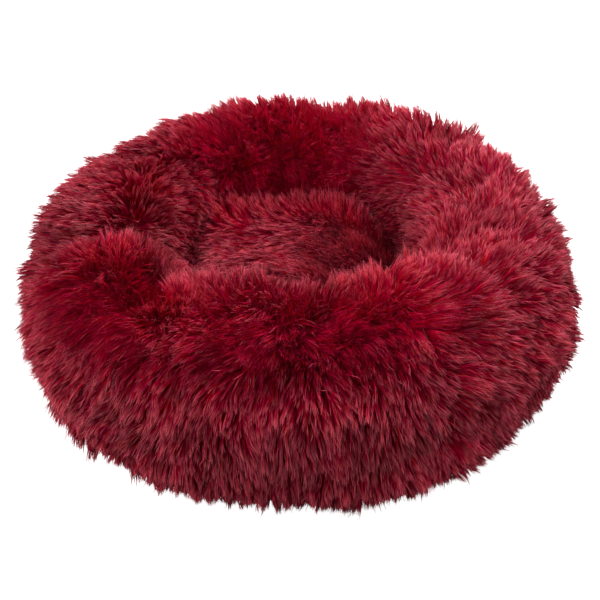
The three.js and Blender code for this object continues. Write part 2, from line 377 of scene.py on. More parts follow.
def fur_material(name, root, mid, tip, spread=0.55, rough=0.34, spec=0.17, sheen=0.03):
    m, nt, b = material(name)
    uv = node(nt, "ShaderNodeUVMap", uv_map="OFBake")
    sep = node(nt, "ShaderNodeSeparateXYZ")
    nt.links.new(uv.outputs[0], sep.inputs[0])
    ramp_ = node(nt, "ShaderNodeValToRGB")
    cr = ramp_.color_ramp
    # the tips' lighter, pinker colour is a painted highlight; the roots, a little lighter than the middle, are painted
    # light in the shaded depth of the pile
    cr.elements[0].position, cr.elements[0].color = 0.0, (*root, 1)
    cr.elements[1].position, cr.elements[1].color = 1.0, (*tip, 1)
    e = cr.elements.new(0.69)
    e.color = (*mid, 1)
    nt.links.new(sep.outputs[1], ramp_.inputs[0])
    # the strand's shade, its tone with any painted light or shade, is its strip of the map
    mul = node(nt, "ShaderNodeMath", operation="MULTIPLY")
    mul.inputs[1].default_value = CLASSES
    nt.links.new(sep.outputs[0], mul.inputs[0])
    flo = node(nt, "ShaderNodeMath", operation="FLOOR")
    nt.links.new(mul.outputs[0], flo.inputs[0])
    div = node(nt, "ShaderNodeMath", operation="DIVIDE")
    div.inputs[1].default_value = CLASSES
    nt.links.new(flo.outputs[0], div.inputs[0])
    noise = node(nt, "ShaderNodeTexWhiteNoise", noise_dimensions="1D")
    nt.links.new(flo.outputs[0], noise.inputs["W"])
    hue = node(nt, "ShaderNodeMapRange")
    hue.inputs["To Min"].default_value, hue.inputs["To Max"].default_value = 0.485, 0.503
    nt.links.new(noise.outputs["Value"], hue.inputs["Value"])
    val = node(nt, "ShaderNodeMapRange")
    val.inputs["To Min"].default_value, val.inputs["To Max"].default_value = 1 - spread, 1 + spread
    nt.links.new(div.outputs[0], val.inputs["Value"])
    hsv = node(nt, "ShaderNodeHueSaturation")
    nt.links.new(hue.outputs[0], hsv.inputs["Hue"])
    nt.links.new(val.outputs[0], hsv.inputs["Value"])
    nt.links.new(ramp_.outputs[0], hsv.inputs["Color"])
    nt.links.new(hsv.outputs[0], b.inputs["Base Color"])
    b.inputs["Roughness"].default_value = rough
    b.inputs["Specular IOR Level"].default_value = spec
    b.inputs["Specular Tint"].default_value = (1.0, 0.74, 0.73, 1)
    b.inputs["Sheen Weight"].default_value = sheen
    b.inputs["Sheen Roughness"].default_value = 0.4
    b.inputs["Sheen Tint"].default_value = (1.0, 0.5, 0.7, 1)
    return m


def cloth_material(name, colour, dark, scale, rough=0.85, bump_mm=0.15, sheen=0.2):
    """A plain weave: two sets of threads crossing, with a little uneven dye."""
    m, nt, b = material(name)
    co = node(nt, "ShaderNodeTexCoord")
    w1 = node(nt, "ShaderNodeTexWave", bands_direction="X", wave_profile="SIN")
    w2 = node(nt, "ShaderNodeTexWave", bands_direction="Y", wave_profile="SIN")
    for w in (w1, w2):
        w.inputs["Scale"].default_value = scale
        w.inputs["Distortion"].default_value = 0.4
        w.inputs["Detail"].default_value = 1.0
        nt.links.new(co.outputs["Object"], w.inputs["Vector"])
    mx = node(nt, "ShaderNodeMath", operation="MULTIPLY")
    nt.links.new(w1.outputs["Fac"], mx.inputs[0])
    nt.links.new(w2.outputs["Fac"], mx.inputs[1])
    no = node(nt, "ShaderNodeTexNoise")
    no.inputs["Scale"].default_value = 60
    nt.links.new(co.outputs["Object"], no.inputs["Vector"])
    mix = node(nt, "ShaderNodeMix", data_type="RGBA")
    mix.inputs["A"].default_value = (*dark, 1)
    mix.inputs["B"].default_value = (*colour, 1)
    ad = node(nt, "ShaderNodeMath", operation="MULTIPLY_ADD")
    ad.inputs[1].default_value = 0.65
    nt.links.new(mx.outputs[0], ad.inputs[0])
    sc = node(nt, "ShaderNodeMath", operation="MULTIPLY")
    sc.inputs[1].default_value = 0.55
    nt.links.new(no.outputs["Fac"], sc.inputs[0])
    nt.links.new(sc.outputs[0], ad.inputs[2])
    nt.links.new(ad.outputs[0], mix.inputs["Factor"])
    nt.links.new(mix.outputs["Result"], b.inputs["Base Color"])
    bp = node(nt, "ShaderNodeBump")
    bp.inputs["Distance"].default_value = bump_mm * MM
    bp.inputs["Strength"].default_value = 0.6
    nt.links.new(mx.outputs[0], bp.inputs["Height"])
    nt.links.new(bp.outputs[0], b.inputs["Normal"])
    b.inputs["Roughness"].default_value = rough
    b.inputs["Sheen Weight"].default_value = sheen
    return m


# tip colours: painted highlight; root colours lighter than the middle: painted light in the depth of the pile
fur_bolster = fur_material("bolster_pile", (0.48, 0.0001, 0.008), (0.405, 0.0001, 0.009), (0.92, 0.142, 0.162))
fur_seat = fur_material("seat_pile", (0.46, 0.0001, 0.008), (0.385, 0.0001, 0.009), (0.88, 0.134, 0.156))
backing = cloth_material("pile_backing", (0.5, 0.0005, 0.01), (0.3, 0.0002, 0.006), 900, sheen=0.0)
fibre_mat = cloth_material("fibre_filling", (0.86, 0.85, 0.82), (0.62, 0.61, 0.58), 160, rough=0.95, bump_mm=1.2)
lining_mat = cloth_material("nonwoven", (0.8, 0.79, 0.76), (0.6, 0.59, 0.56), 420, rough=0.9)
thread_mat = cloth_material("thread", (0.34, 0.001, 0.012), (0.16, 0.0004, 0.006), 1500, rough=0.7, bump_mm=0.1, sheen=0.0)
base_mat = cloth_material("anti_slip_weave", (0.05, 0.049, 0.054), (0.018, 0.018, 0.02), 700, rough=0.82)
dot_mat = cloth_material("grip_dot", (0.03, 0.03, 0.032), (0.016, 0.016, 0.018), 300, rough=0.5, bump_mm=0.05, sheen=0)
label_mat = cloth_material("label_satin", (0.86, 0.85, 0.83), (0.7, 0.69, 0.66), 1100, rough=0.4, bump_mm=0.05)

# ------------------------------------------------------------------ pile of the bolster

g = np.random.default_rng(20)
LOCK = 3.7

# How the pile is combed, at the tips: azimuth and place round the section in degrees, then
# the parts of the tips' direction outwards and down, anticlockwise, and off the surface.
COMB_BACK = np.array([
    # left end of the panel, lying towards the left and the front
    (-178, 91, 0.53, 0.82, 0.2), (166, 100, 0.35, 0.9, 0.2), (148, 98, 0.24, 0.95, 0.2), (-170, 64, 0.95, 0.2, 0.25),
    (-164, 82, 0.95, 0.2, 0.2), (179, 70, 0.92, 0.3, 0.3), (180, 108, 0.43, 0.88, 0.2), (160, 71, 0.78, 0.57, 0.3),
    (-174, 42, 0.75, -0.1, 0.6), (178, 48, 0.75, 0.1, 0.6), (-164, 42, 0.8, -0.1, 0.55),
    # its inner side, which falls into the well
    (158, 138, -0.65, -0.73, 0.2), (161, 153, -0.68, -0.7, 0.2), (150, 126, -0.69, -0.69, 0.2), (-176, 144, -0.92, -0.32, 0.2),
    (150, 163, -0.56, -0.81, 0.2),
    # between the two the pile stands up
    (160, 109, 0.2, 0.1, 0.97), (168, 118, 0.1, -0.1, 0.99), (176, 126, -0.1, -0.2, 0.97),
    # back: tips up along the crest, and straight out of the wall below it
    (132, 82, 0.7, 0.57, 0.42), (126, 95, 0.45, 0.78, 0.42), (118, 103, 0.25, 0.83, 0.5), (115, 87, 0.4, 0.72, 0.57),
    (102, 70, -0.3, 0.48, 0.8), (94, 72, -0.2, 0.2, 0.9), (87, 72, -0.2, 0.1, 0.9), (72, 71, -0.2, 0.0, 0.9),
    (133, 119, 0.1, 0.81, 0.57), (94, 132, -0.2, 0.05, 0.98), (112, 136, -0.1, 0.3, 0.95), (82, 115, -0.5, -0.1, 0.86),
    (123, 143, 0.05, 0.42, 0.9), (108, 107, -0.62, 0.23, 0.75), (99, 110, -0.59, 0.12, 0.8), (90, 111, -0.58, 0.0, 0.82),
    (112, 124, -0.29, 0.29, 0.91), (102, 127, -0.26, 0.17, 0.95), (90, 128, -0.26, 0.0, 0.97), (102, 142, 0.0, 0.15, 0.99),
    (88, 143, 0.0, -0.03, 1.0),
    # right back: a fan that turns from inwards to upwards
    (56, 97, 0.22, 0.88, 0.42), (50, 120, 0.2, 0.92, 0.34), (40, 112, 0.37, 0.86, 0.34), (33, 101, 0.53, 0.73, 0.42),
    (56, 143, -0.42, 0.87, 0.26), (44, 137, -0.44, 0.87, 0.2), (32, 128, -0.28, 0.92, 0.26), (22, 117, 0.2, 0.92, 0.34),
    (16, 103, -0.1, 0.9, 0.42), (12, 86, 0.1, 0.9, 0.42), (38, 151, -0.38, 0.9, 0.2), (25, 141, -0.49, 0.85, 0.2),
    (10, 129, -0.45, 0.85, 0.26), (2, 107, 0.35, 0.79, 0.5), (-3, 86, 0.11, 0.86, 0.5), (0, 69, 0.59, 0.73, 0.34),
    (28, 78, 0.55, 0.72, 0.42), (46, 72, 0.1, 0.2, 0.95),
    # right
    (-16, 95, 0.35, 0.87, 0.34), (-14, 79, 0.26, 0.9, 0.34), (-5, 53, 0.61, 0.75, 0.3), (-28, 85, 0.44, 0.86, 0.26),
    (-23, 71, 0.55, 0.79, 0.26), (-16, 53, 0.54, 0.8, 0.26), (-36, 74, 0.25, 0.93, 0.26), (-30, 62, 0.41, 0.88, 0.26),
    (-24, 48, 0.89, 0.38, 0.26), (-4, 135, 0.69, 0.52, 0.5), (15, 155, -0.15, 0.45, 0.88), (22, 166, -0.3, 0.25, 0.9), (34, 166, -0.3, 0.35, 0.88), (8, 148, -0.1, 0.4, 0.9), (-25, 127, -0.18, 0.85, 0.5),
    (4, 165, 0.5, 0.57, 0.6), (-30, 103, -0.34, 0.8, 0.5), (-46, 100, -0.68, 0.53, 0.5), (-42, 87, -0.53, 0.68, 0.5),
    (-54, 80, 0.81, 0.47, 0.34), (-48, 72, 0.75, 0.57, 0.34), (-43, 63, 0.72, 0.6, 0.34), (-36, 53, 0.64, 0.69, 0.34),
    (-30, 41, 0.9, 0.26, 0.34), (-27, 24, 0.86, 0.38, 0.34), (-58, 64, 0.28, 0.92, 0.26), (-53, 58, 0.45, 0.85, 0.26),
    (-46, 51, 0.68, 0.68, 0.26), (-40, 42, 0.77, 0.58, 0.26), (-32, 24, 0.8, 0.54, 0.26), (-60, 51, 0.52, 0.83, 0.2),
    (-55, 46, 0.47, 0.86, 0.2), (-48, 38, 0.6, 0.77, 0.2), (-41, 27, 0.78, 0.59, 0.2), (-34, 3, 0.78, 0.59, 0.2),
    (-61, 37, 0.78, 0.59, 0.2), (-55, 31, 0.47, 0.86, 0.2), (-49, 24, 0.76, 0.62, 0.2), (-60, 22, 0.69, 0.69, 0.2),
    (-54, 15, 0.7, 0.68, 0.2), (-58, 3, 0.92, 0.28, 0.26), (-50, -1, 0.86, 0.44, 0.26),
], float)
COMB_FRONT = np.array([
    # centre: over the rim, towards the front, and down
    (-90, 90, 0.8, 0.0, 0.6), (-102, 85, 0.7, 0.2, 0.69), (-79, 90, 0.78, -0.19, 0.6), (-72, 79, 0.55, -0.31, 0.77),
    (-90, 65, 0.93, 0.16, 0.34), (-86, 65, 0.93, 0.11, 0.34), (-80, 64, 0.94, 0.05, 0.34), (-72, 60, 0.94, -0.08, 0.34),
    (-90, 51, 0.97, 0.0, 0.26), (-81, 50, 0.98, 0.0, 0.2), (-72, 45, 0.97, -0.12, 0.2), (-66, 83, 0.85, 0.1, 0.42),
    (-96, 65, 0.94, -0.05, 0.34), (-106, 61, 0.94, -0.03, 0.34), (-100, 49, 0.96, -0.13, 0.26), (-104, 47, 0.94, -0.2, 0.26),
    (-110, 45, 0.86, -0.44, 0.26), (-114, 41, 0.84, -0.47, 0.26), (-111, 58, 0.87, -0.25, 0.42), (-102, 35, 0.98, 0.0, 0.2),
    (-106, 33, 0.97, -0.12, 0.2), (-111, 30, 0.95, -0.24, 0.2), (-90, 18, 0.98, 0.09, 0.17), (-72, 12, 0.98, 0.1, 0.17),
    (-98, 16, 0.98, 0.07, 0.2), (-106, 10, 0.78, 0.57, 0.26), (-110, 10, 0.92, 0.28, 0.26), (-64, 9, 0.93, 0.2, 0.26),
    # rim of the well: tips up
    (-90, 101, 0.75, 0.0, 0.66), (-104, 99, 0.7, 0.2, 0.69), (-76, 99, 0.68, -0.25, 0.69), (-64, 98, 0.45, -0.4, 0.8),
    (-90, 120, -0.3, 0.0, 0.95), (-90, 134, -0.1, 0.0, 0.99), (-105, 118, -0.3, 0.1, 0.95), (-75, 118, -0.3, -0.1, 0.95),
    (-65, 116, -0.2, -0.15, 0.97),
    (-118, 116, -0.1, -0.3, 0.94),
    # left front
    (-120, 37, 0.93, -0.25, 0.26), (-124, 32, 0.96, 0.1, 0.26), (-130, 24, 0.91, 0.31, 0.26), (-138, 28, 0.98, 0.05, 0.2),
    (-144, 28, 0.98, 0.0, 0.2), (-124, 18, 0.94, -0.25, 0.2), (-118, 20, 0.96, -0.17, 0.2), (-132, 8, 0.97, -0.09, 0.2),
    (-123, -5, 0.86, -0.46, 0.2), (-153, 38, 0.7, -0.3, 0.6), (-145, 51, 0.83, -0.45, 0.3), (-150, 61, 0.9, -0.29, 0.3),
    (-137, 57, 0.95, -0.15, 0.26), (-142, 40, 0.96, -0.17, 0.2), (-150, 27, 0.85, -0.25, 0.4), (-135, 50, 0.94, -0.29, 0.2),
    (-128, 50, 0.94, 0.08, 0.34),
    # the lump at the left: tips stand up along the seam behind it, and turn to the front on its top
    (-152, 73, 0.0, 0.81, 0.59), (-151, 84, 0.16, 0.81, 0.57), (-147, 94, 0.37, 0.78, 0.51), (-142, 103, 0.5, 0.74, 0.45),
    (-145, 68, 0.0, 0.77, 0.64), (-142, 78, 0.2, 0.74, 0.64), (-136, 85, 0.38, 0.69, 0.61), (-132, 91, 0.53, 0.64, 0.55),
    (-138, 66, 0.05, 0.71, 0.7), (-132, 72, 0.21, 0.66, 0.72), (-126, 77, 0.36, 0.59, 0.73),
    (-122, 69, 0.26, 0.52, 0.81), (-115, 62, 0.3, 0.43, 0.85), (-112, 69, 0.34, 0.37, 0.86), (-103, 72, 0.44, 0.23, 0.87),
    (-94, 73, 0.49, 0.07, 0.87), (-84, 74, 0.5, -0.12, 0.86),
    (-150, 126, 0.05, -0.5, 0.87), (-130, 112, -0.27, -0.42, 0.87), (-124, 120, -0.11, -0.49, 0.87), (-157, 75, 0.05, -0.5, 0.86),
    (-156, 95, -0.05, -0.45, 0.89), (-156, 118, 0.0, -0.5, 0.86), (-141, 122, -0.29, -0.65, 0.71), (-126, 112, -0.42, -0.6, 0.68),
    (-117, 85, 0.0, 0.9, 0.42), (-111, 90, -0.2, 0.88, 0.42), (-123, 73, 0.6, 0.56, 0.57), (-116, 54, 0.85, -0.31, 0.42),
], float)


def comb(az, psi, front, rest):
    """Direction of the tips at a place: the nearest combing marks, or else the panel's own nap."""
    out = np.empty((len(az), 3))
    for marks, sel in ((COMB_FRONT, front), (COMB_BACK, ~front)):
        i = np.nonzero(sel)[0]
        d1 = (az[i][:, None] - marks[None, :, 0] + 180) % 360 - 180
        d2 = psi[i][:, None] - marks[None, :, 1]
        w = np.exp(-0.5 * ((d1 * 3.9) ** 2 + (d2 * 1.45) ** 2) / 17.0**2)
        v = w @ marks[:, 2:] + 0.10 * rest[i]
        out[i] = v
    return unit(out)


def bolster_roots(gap, rng):
    """Even, slightly jittered places over the ring."""
    rows = int(PROF_LEN / gap)
    phis, ss = [], []
    for i in range(rows):
        s = (i + 0.5) / rows
        r = np.interp(s, _s, prof[:, 0])
        n = int(2 * np.pi * r / gap)
        phi = (np.arange(n) + 0.5 * (i % 2) + rng.uniform(-0.4, 0.4, n)) / n * 2 * np.pi
        phis.append(phi)
        ss.append(np.clip(s + rng.uniform(-0.4, 0.4, n) / rows, 0.002, 0.998))
    phi, s = np.concatenate(phis), np.concatenate(ss)
    return (phi + np.pi) % (2 * np.pi) - np.pi, s


f1, f2, f3, f4, f5, f6 = field(31, 120), field(32, 60), field(33, 22), field(34, 50), field(35, 20), field(36, 34)
f7 = field(37, 44)


def tip_direction(phi, s, root, rng):
    """Where the tips of the strands at each root point, in the local frame, and how far they stand."""
    az, psi = np.degrees(phi), section(s)[4]
    b = brushed(az, psi)[:, None]
    front = (az > LEFT_SEAM) & (az < FRONT_SEAM)
    part_at = 132 + 6 * f1(root)
    nap = np.tanh((part_at - psi) / 22)
    rest = unit(np.stack([0.75 * nap, np.where(front, 0.0, 0.6), 0.35 + 0.3 * np.exp(-0.5 * ((psi - 125) / 18) ** 2)], 1))
    # the tips lie downstream of the roots, so the marks are read there
    a1, p1 = az.copy(), psi.copy()
    for _ in range(2):
        v = comb(a1, p1, front, rest)
        reach = 24.0
        a1 = az + np.degrees(v[:, 1] * reach / (RC + 70 * np.cos(np.radians(psi))))
        p1 = psi - v[:, 0] * reach / 1.45
    # no two locks point quite the same way
    even = (1 - 0.35 * bump(az, -85, 36) * ramp(-psi, -58, -35))[:, None]
    v = v + even * (1 - 0.6 * b) * np.stack([0.16 * f3(root) + 0.14 * f6(root), 0.18 * f5(root) + 0.16 * f4(root), 0.10 * f2(root)], 1)
    wall = (bump(az, 8, 34) * hill(psi, 108, 34))[:, None]                     # combed smooth on the inner side at the right
    v = v + even * (1 - 0.8 * b) * (1 - 0.4 * wall) * rng.normal(0, 0.13, v.shape)
    v[:, 2] = v[:, 2] * (1 - 0.3 * wall[:, 0])
    # the loose pile at the front turns out from one point, like a whorl
    across, along = np.radians(az + 92) * 236.0, (psi - 93) * 1.45
    far = np.hypot(across, along)
    turned = 0.85 * bump(az, -92, 17) * hill(psi, 90, 17) * ramp(far, 0, 24) / np.maximum(far, 1e-3)
    v = v + np.stack([-along * turned, across * turned, 0 * far], 1)
    v[:, 2] = np.maximum(v[:, 2], 0.08)
    return unit(v), az, psi, front


def brushed(az, psi):
    """1 where the pile is brushed up straight and stands loose, strand by strand."""
    b = 1.3 * bump(az, -92, 26) * hill(psi, 84, 16)
    b = b + 1.3 * bump(az, -138, 12) * hill(psi, 76, 20)
    b = b + 1.2 * bump(az, 95, 24) * hill(psi, 128, 26)
    return np.clip(b * (1 - 0.75 * bump(az, -119, 8) * hill(psi, 85, 12)), 0, 1)


def in_world(v, ts, tp, nor):
    return unit(-v[:, :1] * ts + v[:, 1:2] * tp + v[:, 2:] * nor)


# long locks
phi, s = bolster_roots(LOCK, g)
root, ts, tp, nor = surf_frame(phi, s)
v, az, psi, front = tip_direction(phi, s, root, g)
tip = in_world(v, ts, tp, nor)
low = ramp(-psi, -20, 40)
under = bump(az, -85, 36) * ramp(-psi, -58, -35)                             # the straight, even pile low at the front
out = ramp(-psi, -62, -35) * 0.22                                            # the sides' locks stand out more
tip = unit(tip + out[:, None] * nor)
loose = brushed(az, psi)
# loose pile leans in soft swirls a few centimetres wide
swirl = 2.6 * f7(root) + 1.6 * f2(root)
lean = np.cos(swirl)[:, None] * unit(np.cross(tip, nor + 1e-3)) + np.sin(swirl)[:, None] * unit(np.cross(tip, np.cross(tip, nor + 1e-3)))
tip = unit(tip + (0.24 * loose)[:, None] * lean)
clump_of, n_clumps = tufts_of(root, 0.06, 6)                                  # tufts of about 15 mm that each lie their own way
tip = unit(tip + (0.19 * (1 - 0.7 * loose) * (1 - 0.5 * under))[:, None] * g.normal(size=(n_clumps, 3))[clump_of])
long_, lighter = g.normal(size=n_clumps)[clump_of], g.normal(size=n_clumps)[clump_of]
point_of, n_points = tufts_of(root, 0.24, 5)                                 # small pointed tufts of about 7 mm
longer = g.normal(size=n_points)[point_of]
single = ramp(longer, 0.9, 1.5) * ramp(85 - psi, 0, 25) * (1 - under)         # of them, one in eight stands out of the outline
tip = unit(tip + 0.32 * single[:, None] * nor)
ridge = np.where(front, hill(az, -154, 4.5) * hill(psi, 96, 26), 0)          # tips that stand up along the seam, with painted light on them
rim = hill(psi, 118, 13) * (bump(az, -110, 13) + bump(az, -66, 12))                                 # and along the front edge of the well, also with painted light
crest = bump(az, 30, 24) * hill(psi, 72, 22)
spiky = bump(az, 85, 55) * hill(psi, 66, 18)                                 # uneven tips along the back's crest
foot = ramp(psi, 142, 166)                                                   # short above the seam round the seat
deep = bump(az, 35, 13) * ramp(psi, 136, 158)                                # a hollow between the right wall and the seat: shorter pile there, and painted shade
pointed = np.clip(0.4 * single + 0.62 * low + 0.5 * bump(az, 0, 42) * hill(psi, 54, 24) + 0.35 * bump(az, 45, 20) * hill(psi, 74, 20) + 0.5 * spiky, 0, 0.65)
length = (30.5 + 2.5 * f4(root) + 1.5 * f5(root) + 1.6 * long_ + np.minimum(longer, 1.5) * (1.2 + 4.8 * pointed) + 3.5 * single + g.normal(0, 1, len(s)) * (3.6 + 2.0 * spiky)) * (1 - 0.12 * low) + 6 * ridge + 6 * crest
length = length * (1 - 0.4 * deep) * (1 - 0.55 * foot * (1 - bump(az, -90, 40)) * (1 - 0.85 * bump(az, 6, 17))) + 9 * rim - 6 * bump(az, -132, 14) * hill(psi, 118, 20)
stand = np.clip(0.55 + 0.1 * f2(root) - 0.15 * low + g.normal(0, 0.08, len(s)), 0.1, 0.9)
curl = (0.10 + np.abs(g.normal(0.10, 0.08, len(s)))) * (1 - 0.85 * loose) * (1 - 0.45 * under)
lines = grow(root, nor, tip, stand, length, curl, g)
lines = gather(lines, 0.06, 0.22 * (1 - loose))
lines = gather(lines, 0.13, np.clip(0.25 + 0.12 * f5(root), 0.05, 0.6) * (1 - 0.4 * loose))
lines = gather(lines, 0.16, 0.3 * loose)
lines = gather(lines, 0.24, pointed)
lines = stop_at_floor(lines, 1.5 + 3.0 * g.uniform(size=len(lines)))
# painted light and shade by place: lighter patches where the pile catches the light, darker ones in its hollows,
# crevices and shaded parts
painted_light_by_place = (0.1 * bump(az, 95, 26) * hill(psi, 128, 26) + 0.6 * bump(az, 88, 26) * hill(psi, 82, 18) + 0.2 * bump(az, 8, 34) * hill(psi, 140, 32)
                  - 0.2 * bump(az, 56, 8) * hill(psi, 124, 22) + 0.75 * bump(az, 79, 9) * hill(psi, 138, 20)
                  - 0.6 * bump(az, 27, 13) * hill(psi, 136, 20) - 0.72 * bump(az, -166, 8) * hill(psi, 94, 34)
                  + 0.5 * bump(az, -118, 8) * hill(psi, 82, 15) + 0.9 * bump(az, -63, 6) * hill(psi, 88, 20)
                  - 0.5 * bump(az, 178, 8) * hill(psi, 142, 15) + 0.5 * bump(az, 119, 10) * hill(psi, 152, 14)
                  - 0.6 * bump(az, -98, 21) * hill(psi, 64, 10) + 0.6 * bump(az, -93, 9) * hill(psi, 43, 8) - 0.42 * bump(az, -103, 5) * hill(psi, 2, 14)
                  - 0.3 * bump(az, -82, 17) * hill(psi, 21, 11) + 0.5 * bump(az, -155, 10) * hill(psi, 8, 24)
                  - 0.4 * bump(az, -5, 15) * hill(psi, 40, 15) - 0.42 * bump(az, -56, 7) * hill(psi, 76, 14)
                  - 0.5 * bump(az, -139, 8) * hill(psi, 114, 12) - 0.3 * bump(az, -146, 8) * hill(psi, 58, 10)
                  - 0.4 * bump(az, -123, 7) * hill(psi, 0, 16) + 0.14 * bump(az, -87, 8) * hill(psi, 101, 9) - 0.22 * bump(az, -84, 7) * hill(psi, 123, 9) + 0.7 * bump(az, -117, 7) * hill(psi, 85, 11)
                  - 0.42 * bump(az, -72, 7) * hill(psi, 16, 13) + 0.4 * bump(az, -60, 6) * hill(psi, -12, 12) - 0.3 * bump(az, 146, 7) * hill(psi, 100, 18) - 0.5 * deep)
painted_light_tips = 0.9 * bump(az, -121, 8) * hill(psi, 79, 13) + 0.7 * bump(az, -143, 6) * hill(psi, 86, 10)   # painted light on the tips beside and on the lump
# each lock's shade: random tone, with painted light on the ridge, on the rim and its right end and over the loose pile,
# and the painted light and shade by place
zone = np.clip(0.5 + 0.35 * painted_light_tips + (0.13 * f3(root) + 0.09 * f4(root) + g.normal(0, 0.22, len(s))) * (1 - 0.5 * loose) + 0.22 * loose + 0.06 * lighter + 0.55 * ridge + 0.1 * rim + 0.42 * hill(psi, 118, 13) * bump(az, -58, 12) + painted_light_by_place, 0, 1)

PER = np.where(loose > 0.4, 13, 8)
clump = np.clip(0.88 + 0.05 * f4(root) + 0.04 * low - 0.45 * loose, 0.2, 0.96)
own = 0.34 - 0.22 * np.maximum(loose, ridge)
tip_highlight_reach = 1 - loose * (1 - np.clip(np.maximum(ridge, rim) + painted_light_tips, 0, 1)) * np.clip(0.4 - 0.12 * f6(root), 0.08, 0.6)   # how far up the colour map their tips reach, so how much painted highlight they get
p, who, klass, facing = blades_of(lines, nor, PER, LOCK * (0.6 + 0.8 * loose), clump, g, zone, keep_clear, own=own, short=0.82 - 0.15 * loose,
                              bend=0.03 + 0.02 * loose)
width = g.uniform(0.45, 1.1, len(who)) * (1 - 0.4 * loose - 0.2 * bump(az, 8, 34) * hill(psi, 108, 34))[who]

# short dense strands under the locks, darker and without light tips: painted shade under the locks
UPER = np.where(loose > 0.3, 4, 3)
up, uwho, uklass, uface = blades_of(lines, nor, UPER, LOCK * 0.7, 0 * clump + 0.1, g, zone * (0.7 + 0.2 * loose), keep_clear,
                                    part=0.55 + 0.33 * loose, own=0.5 - 0.25 * loose)
up = up[:, [0, 2, 4, 5]]
uwidth = g.uniform(1.0, 1.8, len(uwho))

# where the pile stands loose, curled strands fill it just under the tips, darker and without light tips: painted shade
# in the depth
fw = np.repeat(np.nonzero(loose > 0.25)[0], 8)
lie = 0.5 * lean[fw] + 1.6 * (tip - (tip * nor).sum(1, keepdims=True) * nor)[fw] + 0.22 * g.normal(size=(len(fw), 3))
lie = unit(lie - (lie * tip[fw]).sum(1, keepdims=True) * tip[fw])
froot = root[fw] + LOCK * 0.8 * (ts[fw] * g.uniform(-1, 1, (len(fw), 1)) + tp[fw] * g.uniform(-1, 1, (len(fw), 1)))
fill = grow(froot, tip[fw], unit(0.45 * tip[fw] + lie), np.full(len(fw), 0.85), length[fw] * g.uniform(0.7, 1.0, len(fw)), np.full(len(fw), 0.12), g)
fill = keep_clear(stop_at_floor(fill, 1.5))[:, [0, 2, 3, 4, 5]]
fclass = (CLASSES * np.clip(0.45 + 0.6 * (zone[fw] - 0.6) + 0.05 * g.normal(size=len(fw)), 0, 0.99)).astype(int)
fwidth = g.uniform(0.7, 1.3, len(fw))
fface = unit(tip[fw] + 0.25 * g.normal(size=(len(fw), 3)))

# single long hairs that stray from the pile
k = g.choice(len(s), 1500, replace=False, p=(1 - 0.8 * loose) / (1 - 0.8 * loose).sum())
hair_tip = unit(tip[k] + 0.45 * g.normal(size=(len(k), 3)) + 0.3 * nor[k])
hair = keep_clear(grow(root[k], nor[k], hair_tip, np.full(len(k), 0.5), g.uniform(28, 38, len(k)) * (1 - 0.2 * low[k]), g.uniform(0.15, 0.45, len(k)), g))
hair = stop_at_floor(hair, 1.5)
hclass = (CLASSES * g.uniform(0.7, 0.99, len(k))).astype(int)
hwidth = g.uniform(0.4, 0.7, len(k))

groups = []
at_lock = np.where(az < FRONT_SEAM, az + 360, az)
at_lock = np.where(front, az, at_lock)
for name, sel, lo, hi, parts in (
    ("bolster_pile_front", front, LEFT_SEAM, FRONT_SEAM, 7),
    ("bolster_pile_back", ~front, FRONT_SEAM, LEFT_SEAM + 360, 15),
):
    edges = np.linspace(lo, hi, parts + 1)
    edges[0], edges[-1] = lo - 1, hi + 1
    for i in range(parts):
        mine = sel & (at_lock >= edges[i]) & (at_lock < edges[i + 1])
        m, um = mine[who], mine[uwho]
        ob = strand_mesh(f"{name}_{i + 1}", (
            ribbons(p[m], facing[m], klass[m], width[m], g, top=tip_highlight_reach[who[m]]),
            ribbons(up[um], uface[um], uklass[um], uwidth[um], g, top=0.45),
            ribbons(fill[mine[fw]], fface[mine[fw]], fclass[mine[fw]], fwidth[mine[fw]], g, top=0.66),
            ribbons(hair[mine[k]], nor[k][mine[k]], hclass[mine[k]], hwidth[mine[k]], g),
        ), fur_bolster)
        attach(ob, "root")
        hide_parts("bolster_fur_front" if "front" in name else "bolster_fur_back")
        groups.append(ob)
print("bolster strands", len(p) + len(up), "triangles", [len(o.data.loops) - 2 * len(o.data.polygons) for o in groups])

# ------------------------------------------------------------------ pile of the seat

g2 = np.random.default_rng(41)
SLOCK = 4.1
rows = int(2 * SEAT_R / SLOCK)
gx, gy = np.meshgrid((np.arange(rows) + 0.5) / rows * 2 - 1, (np.arange(rows) + 0.5) / rows * 2 - 1)
gx = gx + 0.4 / rows * g2.uniform(-2, 2, gx.shape)
gy = gy + 0.4 / rows * g2.uniform(-2, 2, gy.shape)
keep_ = np.hypot(gx, gy) < 0.985
sx, sy = gx[keep_] * SEAT_R, gy[keep_] * SEAT_R
sroot = np.stack([sx, sy, seat_surf(sx, sy)], -1)
h = 0.8
snor = unit(np.stack([
    -(seat_surf(sx + h, sy) - seat_surf(sx - h, sy)) / (2 * h),
    -(seat_surf(sx, sy + h) - seat_surf(sx, sy - h)) / (2 * h),
    np.ones_like(sx)], -1))
k1, k2, k3 = field(51, 110), field(52, 45), field(53, 20)
angle = np.radians(200 + 9 * k1(sroot) + 7 * k2(sroot) + 5 * k3(sroot) + g2.normal(0, 5, len(sx)))
rr = np.hypot(sx, sy) / SEAT_R
rim_s = ramp(rr, 0.72, 1.0)
back_edge = rim_s * ramp(sy / SEAT_R, 0.3, 0.8)
right_part = ramp(sx / SEAT_R, -0.06, 0.4) * (1 - back_edge)
stip = np.radians(np.clip(6 + 78 * back_edge + 34 * right_part + 4 * k2(sroot) + g2.normal(0, 5, len(sx)), 2, 85))[:, None]
flat = np.stack([np.cos(angle), np.sin(angle), np.zeros_like(sx)], -1)
